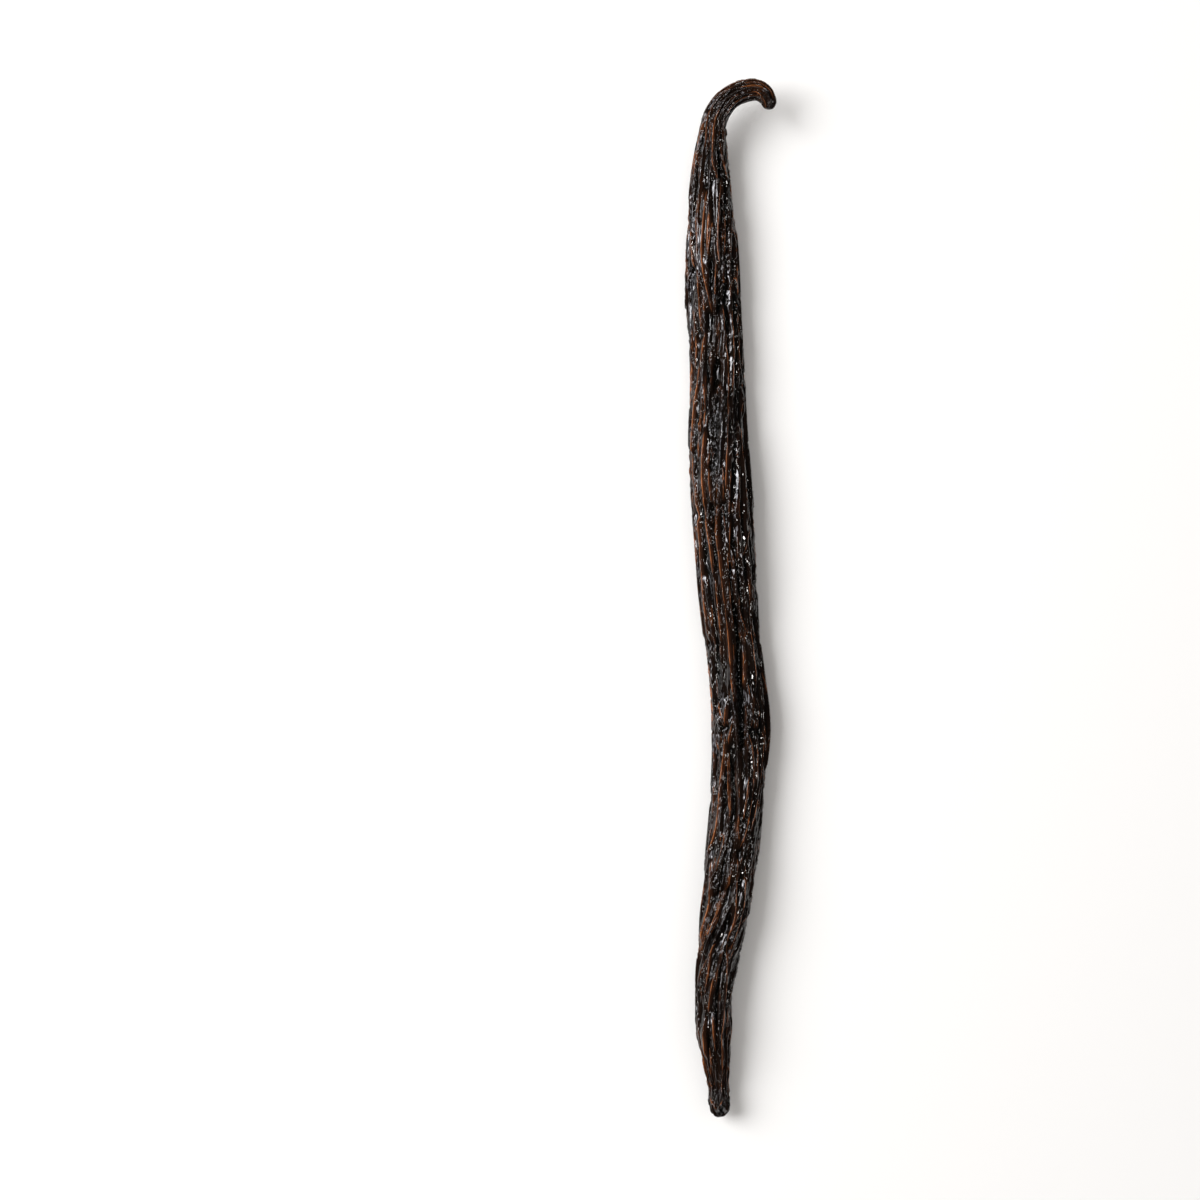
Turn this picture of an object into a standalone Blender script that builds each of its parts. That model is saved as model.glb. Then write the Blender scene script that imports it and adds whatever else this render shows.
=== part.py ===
"""A cured vanilla pod lying on its side: one piece of food, so one closed solid, in metres with +Z up.

The pod lies along Y. Its blossom end is at -Y, and at +Y the stem end lifts off the surface and bends over
into a hook. It starts as a straight capped tube. Every ring of the tube then moves to its place on the
pod's spine, and takes the width, the height and the lengthwise folds that the dried skin has there. Where
the underside would sink through the surface it is pressed flat, and the pod rests on that flat strip.
"""

import bisect
import math

import bmesh
import bpy
from mathutils import Vector, noise

MM = 0.001

# ---- Driving dimensions, in millimetres -----------------------------------------------------------------
# "Along" is the distance from the blossom end, measured along the spine.

# The spine of the body as seen from above: (y, x) from the blossom end to the neck.
SPINE_BENDS = (
    (-80.5, -1.35), (-79.0, -1.6), (-76.0, -1.75), (-71.5, -2.2), (-66.8, -2.65), (-58.0, -2.2), (-46.0, -0.4),
    (-32.0, 1.0), (-20.0, 1.7), (-11.0, 0.9), (-2.0, -0.1), (8.0, -0.7), (24.0, -1.8), (37.0, -2.0),
    (45.0, -2.6), (60.0, -2.95), (66.0, -2.95), (72.4, -2.7),
)
# The hook at the stem end: (radius, turn in degrees) of its wide bend, its tight curl and its nearly
# straight end.
HOOK_ARCS = ((6.2, 88.0), (2.3, 90.0), (8.0, 5.0))

# (along, width) over the crests of the folds.
WIDTHS = (
    (0.0, 2.7), (1.9, 3.75), (4.5, 3.45), (6.8, 3.95), (10.0, 4.8), (13.5, 5.8), (18.5, 5.8), (22.5, 6.4),
    (27.5, 7.2), (34.5, 8.0), (41.5, 8.3), (48.5, 8.3), (55.5, 8.7), (60.5, 9.2), (69.5, 8.9), (76.5, 8.9),
    (83.5, 9.4), (97.5, 9.7), (104.5, 9.4), (111.0, 8.8), (118.0, 8.5), (126.0, 8.7), (133.0, 8.5),
    (139.5, 7.7), (146.5, 6.3), (151.0, 5.1), (154.0, 4.3), (158.5, 3.8), (162.5, 3.35), (164.5, 3.0),
    (166.0, 2.5), (167.2, 2.1), (168.5, 1.9),
)
WIDEST = max(width for along, width in WIDTHS)
# (along, height as a share of the width): the body has flattened in drying, and the hook is nearly round.
ROUNDNESS = (
    (0.0, 0.92), (10.0, 0.88), (20.0, 0.84), (30.0, 0.79), (45.0, 0.75), (60.0, 0.70), (110.0, 0.70),
    (130.0, 0.71), (146.0, 0.80), (158.0, 0.95),
)
# (along, height of the underside over the surface). Below 0 the skin is pressed flat.
LIFT = (
    (0.0, 1.1), (6.0, 0.9), (12.0, 1.0), (20.0, 1.0), (30.0, 0.3), (42.0, -0.2), (54.0, -0.5), (70.0, -0.5),
    (110.0, -0.5), (132.0, -0.5), (141.0, -0.1), (147.0, 0.5), (152.0, 1.7), (158.0, 3.6), (164.0, 4.7),
    (168.0, 4.7),
)
TIP_ROUNDING = 1.0  # length over which each end rounds off ...
TIP_SHARE = 0.3  # ... to this share of its full section

# ---- The folds of the dried skin --------------------------------------------------------------------------
FOLDS = 13  # round the pod
FOLD_DEPTH = 1.1  # on the widest part, and less in proportion where the pod is thinner
FOLD_WANDER = 0.55  # how far a fold strays sideways, as a share of the space between two, ...
FOLD_WAVELENGTH = 21.0  # ... from one side to the other and back over about this length
FOLD_FADE = 34.0  # length over which a fold grows deeper and shallower ...
FOLD_STRENGTHS = (0.2, 1.0)  # ... between these shares of its depth
TROUGH_ROUNDNESS = 1.6  # 1 makes crests and troughs alike; more makes sharper crests and rounder troughs
DEEPEST_SHARE = 0.55  # no trough goes deeper than this share of the distance to the spine
# (along, degrees): how far the folds have turned round the pod.
TWIST = (
    (0.0, -38.0), (16.0, -30.0), (24.0, -22.0), (36.0, 24.0), (48.0, 30.0), (70.0, 22.0), (92.0, 20.0),
    (106.0, 28.0), (124.0, 50.0), (140.0, 62.0), (168.0, 80.0),
)
# Deep lengthwise furrows: (from along, to along, angle at each end in degrees, half-width, depth).
# An angle of 0 is the +X side, 90 the top and 180 the -X side.
FURROWS = (
    (57.0, 84.0, 88.0, 84.0, 0.75, 0.95),
    (93.0, 124.0, 72.0, 84.0, 0.60, 0.45),
    (138.0, 151.0, 60.0, 72.0, 0.70, 0.55),
    (18.0, 37.0, 62.0, 84.0, 0.65, 0.50),
    (40.0, 80.0, 262.0, 250.0, 0.80, 0.70),
)
# Creases across the pod: (along, lean in mm from the +X side to the -X side, middle in degrees,
# reach in degrees, half-length, depth).
CREASES = (
    (36.0, -9.0, 90.0, 120.0, 1.1, 0.40),
    (59.8, 0.5, 90.0, 200.0, 0.9, 0.45),
    (74.0, 1.0, 150.0, 60.0, 0.8, 0.30),
    (94.5, -0.5, 160.0, 80.0, 1.0, 0.40),
    (112.0, -4.0, 60.0, 80.0, 1.1, 0.35),
    (123.0, -3.5, 70.0, 90.0, 1.0, 0.35),
    (12.0, 1.0, 90.0, 200.0, 1.0, 0.20),
)
SCAR_LOBES = 3  # the blossom left a three-lobed scar on the tip
SCAR_DEPTH = 0.32
SCAR_LENGTH = 3.6

# ---- The mesh ---------------------------------------------------------------------------------------------
SEGMENTS = 52
RING_STEPS = ((0.0, 0.25), (2.0, 0.8), (8.0, 1.8), (148.0, 2.3), (156.0, 1.3), (164.0, 0.7), (168.0, 0.25))
SPINE_STEP = 0.25


def smooth(table, at):
    """The value at this place on the smooth curve through the table's (place, value) rows."""
    places = [row[0] for row in table]
    values = [row[1] for row in table]
    at = min(max(at, places[0]), places[-1])
    last = len(places) - 1
    i = min(bisect.bisect_right(places, at), last) - 1
    slopes = [
        (values[min(k + 1, last)] - values[max(k - 1, 0)]) / (places[min(k + 1, last)] - places[max(k - 1, 0)])
        for k in (i, i + 1)
    ]
    span = places[i + 1] - places[i]
    t = (at - places[i]) / span
    rise = t * t * (3 - 2 * t)
    bow = t * (1 - t) * span * ((1 - t) * slopes[0] - t * slopes[1])
    return values[i] * (1 - rise) + values[i + 1] * rise + bow


def fade(distance, reach):
    """1 at no distance, falling smoothly to 0 at the reach."""
    t = max(0.0, 1 - abs(distance) / reach)
    return t * t * (3 - 2 * t)


def spine_from_above():
    """Points along the whole spine in the XY plane: the body's bends, then the hook's arcs."""
    bottom, neck = SPINE_BENDS[0][0], SPINE_BENDS[-1][0]
    steps = round((neck - bottom) / SPINE_STEP)
    points = []
    for k in range(steps + 1):
        y = bottom + (neck - bottom) * k / steps
        points.append(Vector((smooth(SPINE_BENDS, y), y)))
    ahead = points[-1] - points[-2]
    heading = math.degrees(math.atan2(ahead.y, ahead.x))
    for radius, turn in HOOK_ARCS:
        start = points[-1]
        side = math.radians(heading - 90)
        centre = start + radius * Vector((math.cos(side), math.sin(side)))
        count = math.ceil(radius * math.radians(turn) / SPINE_STEP)
        for k in range(1, count + 1):
            angle = math.radians(heading + 90 - turn * k / count)
            points.append(centre + radius * Vector((math.cos(angle), math.sin(angle))))
        heading -= turn
    return points


class Spine:
    """The pod's middle line: it gives the section's size, place and directions at a distance along it."""

    def __init__(self):
        self.points = spine_from_above()
        self.along = [0.0]
        for a, b in zip(self.points, self.points[1:]):
            self.along.append(self.along[-1] + (b - a).length)
        self.length = self.along[-1]

    def half_sizes(self, along):
        """Half the width and half the height of the section."""
        half_width = smooth(WIDTHS, along) / 2
        return half_width, half_width * smooth(ROUNDNESS, along)

    def place(self, along):
        along = min(max(along, 0.0), self.length)
        i = min(bisect.bisect_right(self.along, along), len(self.along) - 1) - 1
        share = (along - self.along[i]) / (self.along[i + 1] - self.along[i])
        flat = self.points[i].lerp(self.points[i + 1], share)
        return Vector((flat.x, flat.y, smooth(LIFT, along) + self.half_sizes(along)[1]))

    def directions(self, along):
        """The section's own sideways and upward directions, square to the spine."""
        ahead = (self.place(along + SPINE_STEP) - self.place(along - SPINE_STEP)).normalized()
        sideways = ahead.cross(Vector((0, 0, 1))).normalized()
        return sideways, sideways.cross(ahead)


def round_place(angle, scale, lengthwise):
    """A place in the noise that comes back to its start once round the pod."""
    return Vector((scale * math.cos(angle), scale * math.sin(angle), lengthwise))


def folds(along, angle, size):
    """Depth of the skin below its crests: sharp crests with rounded troughs between them."""
    turned = angle + math.radians(smooth(TWIST, along))
    stray = noise.noise(round_place(turned, 1.7, along / FOLD_WAVELENGTH))
    phase = FOLDS * turned / math.tau + 2 * FOLD_WANDER * stray
    trough = 1 - abs(2 * (phase % 1.0) - 1) ** TROUGH_ROUNDNESS
    weakest, strongest = FOLD_STRENGTHS
    middle = (weakest + strongest) / 2
    strength = middle + 0.6 * noise.noise(round_place(turned, 2.3, 50 + along / FOLD_FADE))
    return FOLD_DEPTH * size * trough * min(max(strength, weakest), strongest)


def furrows(along, angle, size):
    depth = 0.0
    for start, end, angle_from, angle_to, half_width, deepest in FURROWS:
        middle, reach = (start + end) / 2, (end - start) / 2
        share = min(max((along - start) / (end - start), 0.0), 1.0)
        centre = math.radians(angle_from + (angle_to - angle_from) * share)
        aside = math.remainder(angle - centre, math.tau) * size * WIDEST / 2
        depth += deepest * fade(along - middle, reach) ** 0.6 * math.exp(-((aside / half_width) ** 2))
    return depth


def creases(along, angle, size):
    depth = 0.0
    for middle, lean, centre, reach, half_length, deepest in CREASES:
        aside = math.remainder(angle - math.radians(centre), math.tau)
        leaning = middle + lean * aside / math.pi
        across = fade(aside, math.radians(reach))
        depth += deepest * size * across * math.exp(-(((along - leaning) / half_length) ** 2))
    return depth


def scar(along, angle):
    """The three lobes of the blossom end."""
    return SCAR_DEPTH * fade(along, SCAR_LENGTH) * (0.5 - 0.5 * math.cos(SCAR_LOBES * angle + 0.6))


def rounding(along, length):
    """The share of its full size that a section has as the pod closes at either end."""
    from_tip = min(min(along, length - along) / TIP_ROUNDING, 1.0)
    return TIP_SHARE + (1 - TIP_SHARE) * math.sqrt(1 - (1 - from_tip) ** 2)


def skin_point(spine, along, angle, outwards):
    """Where the skin is. outwards is 1 on the skin and 0 at the middle of an end cap."""
    half_width, half_height = spine.half_sizes(along)
    size = 2 * half_width / WIDEST
    depth = folds(along, angle, size) + furrows(along, angle, size) + creases(along, angle, size)
    depth += scar(along, angle)
    depth = min(depth, DEEPEST_SHARE * half_height)
    out = outwards * rounding(along, spine.length)
    sideways, upward = spine.directions(along)
    point = spine.place(along)
    point += sideways * out * (half_width - depth) * math.cos(angle)
    point += upward * out * (half_height - depth) * math.sin(angle)
    point.z = max(point.z, 0.0)
    return point


def ring_places(length):
    """The distance along the spine of every ring: close together at the ends and round the hook."""
    places = [0.0]
    while places[-1] < length:
        places.append(places[-1] + smooth(RING_STEPS, places[-1]))
    return [place * length / places[-1] for place in places]


def straight_tube(mesh, rings):
    """A capped tube of radius 1 between z 0 and z 1, with this many rings of vertices."""
    bmesh.ops.create_cone(
        mesh, cap_ends=True, cap_tris=True, segments=SEGMENTS, radius1=1, radius2=1, depth=1
    )
    bmesh.ops.translate(mesh, verts=mesh.verts, vec=(0, 0, 0.5))
    lengthwise = [edge for edge in mesh.edges if abs(edge.verts[0].co.z - edge.verts[1].co.z) > 0.5]
    bmesh.ops.subdivide_edges(mesh, edges=lengthwise, cuts=rings - 2)


def stand_on_origin(mesh):
    """Moves the pod so that the bottom centre of its box is the origin."""
    xs = [vertex.co.x for vertex in mesh.verts]
    ys = [vertex.co.y for vertex in mesh.verts]
    lowest = min(vertex.co.z for vertex in mesh.verts)
    middle = Vector(((min(xs) + max(xs)) / 2, (min(ys) + max(ys)) / 2, lowest))
    bmesh.ops.translate(mesh, verts=mesh.verts, vec=-middle)


def make_pod(collection):
    spine = Spine()
    places = ring_places(spine.length)
    mesh = bmesh.new()
    straight_tube(mesh, len(places))
    for vertex in mesh.verts:
        along = places[round(vertex.co.z * (len(places) - 1))]
        angle = math.atan2(vertex.co.y, vertex.co.x)
        outwards = 1.0 if vertex.co.xy.length > 0.5 else 0.0
        vertex.co = skin_point(spine, along, angle, outwards)
    stand_on_origin(mesh)
    bmesh.ops.scale(mesh, verts=mesh.verts, vec=(MM, MM, MM))
    bmesh.ops.recalc_face_normals(mesh, faces=mesh.faces)
    data = bpy.data.meshes.new("vanilla_pod")
    mesh.to_mesh(data)
    mesh.free()
    data.shade_smooth()
    data.materials.append(pod_skin())
    pod = bpy.data.objects.new("vanilla_pod", data)
    collection.objects.link(pod)
    return pod


def pod_skin():
    """Cured, oily skin: nearly black brown with a soft gloss."""
    material = bpy.data.materials.new("cured_pod_skin")
    material.use_nodes = True
    shader = material.node_tree.nodes["Principled BSDF"]
    shader.inputs["Base Color"].default_value = (0.030, 0.017, 0.012, 1.0)
    shader.inputs["Roughness"].default_value = 0.38
    shader.inputs["Metallic"].default_value = 0.0
    return material


def main():
    for obj in list(bpy.data.objects):
        bpy.data.objects.remove(obj, do_unlink=True)
    collection = bpy.data.collections.new("vanilla_pod")
    bpy.context.scene.collection.children.link(collection)
    make_pod(collection)


main()
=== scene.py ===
# %% [markdown]
# # A cured vanilla pod
# A vanilla pod is picked green, then blanched, sweated and dried in the sun for months. It shrinks on to its
# thousands of tiny seeds, so its skin falls into long folds, and its oils come to the surface and make it
# gleam. What is left is nearly black brown, supple and wrinkled.
#
# The shape comes first here, because a dark glossy thing is seen mostly by its highlights, and highlights
# follow the shape. So the folds, ridges, creases and wrinkles are real geometry, and only what is finer than
# the mesh can carry is left to bump.

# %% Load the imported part
import math

import bmesh
import bpy
import numpy as np
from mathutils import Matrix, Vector, noise


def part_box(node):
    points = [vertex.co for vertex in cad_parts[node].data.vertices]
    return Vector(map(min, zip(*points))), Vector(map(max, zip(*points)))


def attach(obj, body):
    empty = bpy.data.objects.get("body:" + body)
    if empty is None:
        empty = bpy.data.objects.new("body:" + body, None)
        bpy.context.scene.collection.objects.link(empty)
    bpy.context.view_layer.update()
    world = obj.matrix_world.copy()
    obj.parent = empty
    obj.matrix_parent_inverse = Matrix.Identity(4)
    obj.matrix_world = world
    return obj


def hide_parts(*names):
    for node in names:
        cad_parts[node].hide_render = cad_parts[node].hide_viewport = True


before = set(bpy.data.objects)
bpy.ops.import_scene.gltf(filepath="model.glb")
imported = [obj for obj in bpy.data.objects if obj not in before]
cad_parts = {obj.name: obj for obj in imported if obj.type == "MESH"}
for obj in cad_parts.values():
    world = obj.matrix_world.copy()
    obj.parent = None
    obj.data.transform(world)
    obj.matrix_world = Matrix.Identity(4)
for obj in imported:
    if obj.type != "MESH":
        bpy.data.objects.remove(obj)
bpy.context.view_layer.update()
MM = 0.001
low, high = (np.array(corner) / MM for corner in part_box("vanilla_pod"))
print("the part is", np.round(high - low, 1), "mm")

# %% [markdown]
# ## The spine
# Every section of the pod sits on one middle line. Seen from above, the body wanders gently from side to
# side, and the stem end bends over into a hook, which is a wide arc, a tight curl and a nearly straight end.
# A curve object could carry it, but every skin point has to know where it is along the pod, and that is
# simpler with a table and three arcs. The same driving sizes as the part's make it, so that the fine skin
# lies where the plain solid is.
#
# "Along" is the distance from the blossom end in millimetres, and "angle" goes round the section: 0 is the
# side the hook bends to, 90 the top and 180 the far side.

# %% A table read as a smooth curve
def smooth(table, at):
    """The values at these places on the smooth curve through the table's (place, value) rows."""
    places, values = np.array(table, float).T
    at = np.clip(at, places[0], places[-1])
    i = np.clip(np.searchsorted(places, at, side="right") - 1, 0, len(places) - 2)
    outer_values = np.concatenate((values[:1], values, values[-1:]))
    outer_places = np.concatenate((places[:1], places, places[-1:]))
    slopes = (outer_values[2:] - outer_values[:-2]) / (outer_places[2:] - outer_places[:-2])
    span = places[i + 1] - places[i]
    t = (at - places[i]) / span
    rise = t * t * (3 - 2 * t)
    bow = t * (1 - t) * span * ((1 - t) * slopes[i] - t * slopes[i + 1])
    return values[i] * (1 - rise) + values[i + 1] * rise + bow


# %% The route seen from above
# (place along the body, how far it has wandered towards the hook's side), in millimetres.
SPINE_BENDS = (
    (-80.5, -1.35), (-79.0, -1.6), (-76.0, -1.75), (-71.5, -2.2), (-66.8, -2.65), (-58.0, -2.2),
    (-46.0, -0.4), (-32.0, 1.0), (-20.0, 1.7), (-11.0, 0.9), (-2.0, -0.1), (8.0, -0.7), (24.0, -1.8),
    (37.0, -2.0), (45.0, -2.6), (60.0, -2.95), (66.0, -2.95), (72.4, -2.7),
)
HOOK_ARCS = ((6.2, 88.0), (2.3, 90.0), (8.0, 5.0))  # (radius, turn in degrees)
STEP = 0.1

body_y = np.arange(SPINE_BENDS[0][0], SPINE_BENDS[-1][0] + STEP / 2, STEP)
route = [Vector((x, y)) for x, y in zip(smooth(SPINE_BENDS, body_y), body_y)]
heading = math.degrees(math.atan2(*reversed(route[-1] - route[-2])))
for radius, turn in HOOK_ARCS:
    side = math.radians(heading - 90)
    centre = route[-1] + radius * Vector((math.cos(side), math.sin(side)))
    count = math.ceil(radius * math.radians(turn) / STEP)
    for k in range(1, count + 1):
        bearing = math.radians(heading + 90 - turn * k / count)
        route.append(centre + radius * Vector((math.cos(bearing), math.sin(bearing))))
    heading -= turn
route = np.array(route)
route_along = np.concatenate(([0], np.cumsum(np.linalg.norm(np.diff(route, axis=0), axis=1))))
LENGTH = route_along[-1]
print("the pod is", round(LENGTH, 1), "mm long along its bends")

# %% [markdown]
# ## The sections
# In drying the round green pod flattens, so the body is wider than it is high, while both ends stay nearly
# round. The middle of the body lies on the surface, and its underside is pressed flat where it would sink
# through. The blossom end stands a millimetre off the surface, and the neck lifts the hook a few
# millimetres up.
#
# A bevelled curve could only scale one section. Three tables give the width, the height and the lift their
# own ways along the pod.

# %% Width, roundness and lift along the pod
# (along, width).
WIDTHS = (
    (0.0, 2.7), (1.9, 3.75), (4.5, 3.45), (6.8, 3.95), (10.0, 4.8), (13.5, 5.8), (18.5, 5.8), (22.5, 6.4),
    (27.5, 7.2), (34.5, 8.0), (41.5, 8.3), (48.5, 8.3), (55.5, 8.7), (60.5, 9.2), (69.5, 8.9), (76.5, 8.9),
    (83.5, 9.4), (97.5, 9.7), (104.5, 9.4), (111.0, 8.8), (118.0, 8.5), (126.0, 8.7), (133.0, 8.5),
    (139.5, 7.7), (146.5, 6.3), (151.0, 5.1), (154.0, 4.3), (158.5, 3.8), (162.5, 3.35), (164.5, 3.0),
    (166.0, 2.5), (167.2, 2.1), (168.5, 1.9),
)
WIDEST = max(width for along, width in WIDTHS)
# (along, height as a share of the width).
ROUNDNESS = (
    (0.0, 0.92), (10.0, 0.88), (20.0, 0.84), (30.0, 0.79), (45.0, 0.75), (60.0, 0.70), (110.0, 0.70),
    (130.0, 0.71), (146.0, 0.80), (158.0, 0.95),
)
# (along, how far the underside is lifted off the surface). Below 0 it is pressed flat.
LIFT = (
    (0.0, 1.1), (6.0, 0.9), (12.0, 1.0), (20.0, 1.0), (30.0, 0.3), (42.0, -0.2), (54.0, -0.5), (70.0, -0.5),
    (110.0, -0.5), (132.0, -0.5), (141.0, -0.1), (147.0, 0.5), (152.0, 1.7), (158.0, 3.6), (164.0, 4.7),
    (168.0, 4.7),
)
TIP_ROUNDING = 1.0  # the length over which each end rounds off
TIP_SHARE = 0.15  # how much of the section is left at the very end
print("the widest place is", WIDEST, "mm across")

# %% The grid of skin points
SEGMENTS = 152  # round the pod
RINGS = 650  # along it: with SEGMENTS, as fine a skin as one piece may have
TOP_CROWDING = 0.22  # draws the segments towards the top, and leaves fewer for the strip it lies on
RING_DENSITY = ((0.0, 2.2), (6.0, 1.5), (16.0, 1.0), (145.0, 1.0), (152.0, 1.4), (164.0, 1.8), (168.0, 2.4))

fine_along = np.linspace(0, LENGTH, 4001)
crowd = np.cumsum(smooth(RING_DENSITY, fine_along))
ring_along = np.interp(np.linspace(crowd[0], crowd[-1], RINGS), crowd, fine_along)
even_angle = np.arange(SEGMENTS) * math.tau / SEGMENTS
segment_angle = even_angle + TOP_CROWDING * np.cos(even_angle)
along, angle = np.meshgrid(ring_along, segment_angle, indexing="ij")
half_width = smooth(WIDTHS, along) / 2
half_height = half_width * smooth(ROUNDNESS, along)
size = 2 * half_width / WIDEST
ring_gaps = np.diff(ring_along)
print("rings every", np.round(ring_gaps.min(), 2), "to", np.round(ring_gaps.max(), 2), "mm")

# %% [markdown]
# ## The skin's own coordinates
# The folds run the length of the pod, but they also wind round it, in places quite fast. A pattern that
# should follow them is laid out on the pod as if it were untwisted and straightened: a cylinder as wide as
# the pod is on average. A wave texture in the material could not do this, because it knows nothing of the
# twist.

# %% Untwist the pod
MEAN_RADIUS = 3.9
# (along, degrees): how far the folds have turned round the pod.
TWIST = (
    (0.0, -38.0), (16.0, -30.0), (24.0, -22.0), (36.0, 24.0), (48.0, 30.0), (70.0, 22.0), (92.0, 20.0),
    (106.0, 28.0), (124.0, 50.0), (140.0, 62.0), (168.0, 80.0),
)


def skin_noise(width, length, seed, shift=0.0):
    """Smooth noise over the skin in patches this wide and this long, in millimetres. Each use has a seed of
    its own, so that no two patterns follow each other."""
    radius = MEAN_RADIUS / width
    around = turned + shift / MEAN_RADIUS
    points = zip((radius * np.cos(around)).flat, (radius * np.sin(around)).flat, (along / length + seed).flat)
    return np.array([noise.noise(point) for point in points]).reshape(along.shape)


turned = angle + np.radians(smooth(TWIST, along))
meander = 1.5 * skin_noise(5.0, 21.0, 3.3) + 0.45 * skin_noise(2.4, 7.0, 41.7)
unevenness = skin_noise(2.0, 2.5, 161.3)
print("the folds stray up to", round(float(np.abs(meander).max()), 1), "mm sideways")


# %% Small measures used all over the skin
def ramp(values, start, end):
    """0 at the start, 1 at the end and straight between them, whichever is larger."""
    return np.clip((values - start) / (end - start), 0, 1)


def fade(distance, reach):
    """1 at no distance, falling smoothly to 0 at the reach."""
    t = np.clip(1 - np.abs(distance) / reach, 0, 1)
    return t * t * (3 - 2 * t)


def aside(centre):
    """How far the skin points are from this angle in degrees, going round, in millimetres."""
    around = (angle - np.radians(centre) + math.pi) % math.tau - math.pi
    return around * half_width


def comes_and_goes(width, length, seed, share=0.55):
    """0 to 1 over patches this wide and long, at full strength on about this share of the skin."""
    return np.clip(share + 2.0 * skin_noise(width, length, seed), 0, 1)


# %% [markdown]
# ## The folds
# Skin that is too big for what it holds folds lengthwise. The crests come out thin and sharp and the skin
# hangs in a shallow curve between them. A sculpting brush could draw them one by one. Here a set of folds is
# spaced evenly round the pod, and noise makes each one come and go and stray sideways.
#
# Other ridges join, split and die out, and that is what noise is good for: the lines where a long, narrow
# noise crosses zero wander, meet and part in the same way. A crest is built on those lines, and a crease is
# the same thing upside down. Each crest leans, steep on one side and gentle on the other, as a fold that has
# slumped does.

# %% Folds and ridges
FOLDS = 15
FURROW_REACH = 0.24
FIN_REACH = 0.22
SMALL_FIN_REACH = 0.16
LEAN = (1.5, 0.7)  # how far a crest reaches on the side of the hook and on the other, in shares of its reach
around_step = MEAN_RADIUS * (1 - TOP_CROWDING * np.sin(even_angle)) * math.tau / SEGMENTS  # in millimetres


def from_lines(field, flattest=0.12):
    """How far round the pod each point is from the field's zero lines, in millimetres, with its sign."""
    slope = (np.roll(field, -1, axis=1) - np.roll(field, 1, axis=1)) / (2 * around_step)
    return np.clip(field / np.copysign(np.maximum(np.abs(slope), flattest), slope), -2, 2)


def ridge(offset, reach):
    """1 on a line, falling off within about this many millimetres: a sharp crest that leans."""
    return np.exp(-np.where(offset > 0, offset / (LEAN[0] * reach), -offset / (LEAN[1] * reach)))


def fold_phase(count, wander, start):
    """-0.5 to 0.5 across each of this many folds round the pod, and 0 on its crest."""
    return (count * (turned + wander / MEAN_RADIUS) / math.tau + start) % 1.0 - 0.5


phase = fold_phase(FOLDS, meander, 0.5)
folds = np.clip(0.7 + 1.1 * skin_noise(2.0, 20.0, 77.1), 0.2, 1.0) * (1 - 2 * np.abs(phase)) ** 2.0
fold_offset = phase * math.tau * MEAN_RADIUS / FOLDS
fold_strength = comes_and_goes(1.5, 9.0, 83.3, 0.35)

furrow_lines = from_lines(skin_noise(2.4, 14.0, 23.9, meander))
furrows = ridge(furrow_lines, FURROW_REACH) * comes_and_goes(2.0, 12.0, 27.2)
fin_offset = from_lines(skin_noise(1.2, 13.0, 11.4, meander))
fin_strength = comes_and_goes(1.4, 8.0, 15.2, 0.6)
small_fin_offset = from_lines(skin_noise(0.7, 7.0, 19.8, meander))
small_fin_strength = comes_and_goes(1.2, 4.0, 17.5, 0.5)
print("folds, furrows and ridges laid out on", along.size, "skin points")

# %% [markdown]
# ## Plates and creases
# Between the folds the skin dries in uneven plates, as a leather does: each is a little tilted against its
# neighbours and catches the light by itself, and the rim between two is a shallow groove. A Voronoi texture
# with displacement would give the same cells, but not the tilt of each, so the cells are worked out here:
# every point finds the nearest of a set of jittered centres. Creases across the pod part the plates further.

# %% Plates, facets and cross creases
RIM_SHARPNESS = 0.16  # in shares of a plate


def plates(width, length, seed, drift):
    """The skin split into uneven plates. Gives how near each point is to the rim of its plate, 1 on the rim,
    and how high the plate's own tilt lifts it, mostly between -1 and 1."""
    count = round(math.tau * MEAN_RADIUS / width)
    across = (turned + drift / MEAN_RADIUS) / math.tau * count
    up = along / length + 2
    chance = np.random.default_rng(seed).random((math.ceil(up.max()) + 3, count, 4))
    nearest, second, tilt = np.full(along.shape, 9.0), np.full(along.shape, 9.0), np.zeros(along.shape)
    for row in (-1, 0, 1):
        for column in (-1, 0, 1):
            i, j = np.floor(up).astype(int) + row, np.floor(across).astype(int) + column
            jitter_up, jitter_across, tilt_up, tilt_across = np.moveaxis(chance[i, j % count], -1, 0)
            rise, sideways = up - i - jitter_up, across - j - jitter_across
            distance = np.hypot(rise, sideways)
            own_tilt = 2 * ((2 * tilt_up - 1) * rise + (2 * tilt_across - 1) * sideways)
            tilt = np.where(distance < nearest, own_tilt, tilt)
            second = np.where(distance < nearest, nearest, np.minimum(second, distance))
            nearest = np.minimum(nearest, distance)
    return np.exp(-(second - nearest) / RIM_SHARPNESS), tilt


plate_rims, plate_tilt = plates(1.1, 4.4, 7, 1.2 * meander)
facet_rims, facet_tilt = plates(0.55, 2.0, 11, 1.3 * meander)
creased = comes_and_goes(1.6, 3.0, 37.5, 0.2)
cross_creases = np.exp(-np.abs(skin_noise(3.2, 2.2, 35.1, meander)) / 0.08) * creased
print("a plate's tilt is mostly within", round(float(np.percentile(np.abs(plate_tilt), 95)), 1))

# %% [markdown]
# ## The wrinkles
# On the plates the skin is crimped again, much finer: in some places lengthwise, like crepe paper, in
# others in grains, and some plates stay smooth and shine. One noise says where each kind is, so that they
# take turns. The hook is crimped all over, and the blossom end hardly, apart from a row of beads that runs
# along its top to the scar.

# %% Fine wrinkles and grains
BEAD_ROW_ANGLE = 78.0
BEAD_ROW_REACH = 0.7  # to each side, in millimetres

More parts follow.
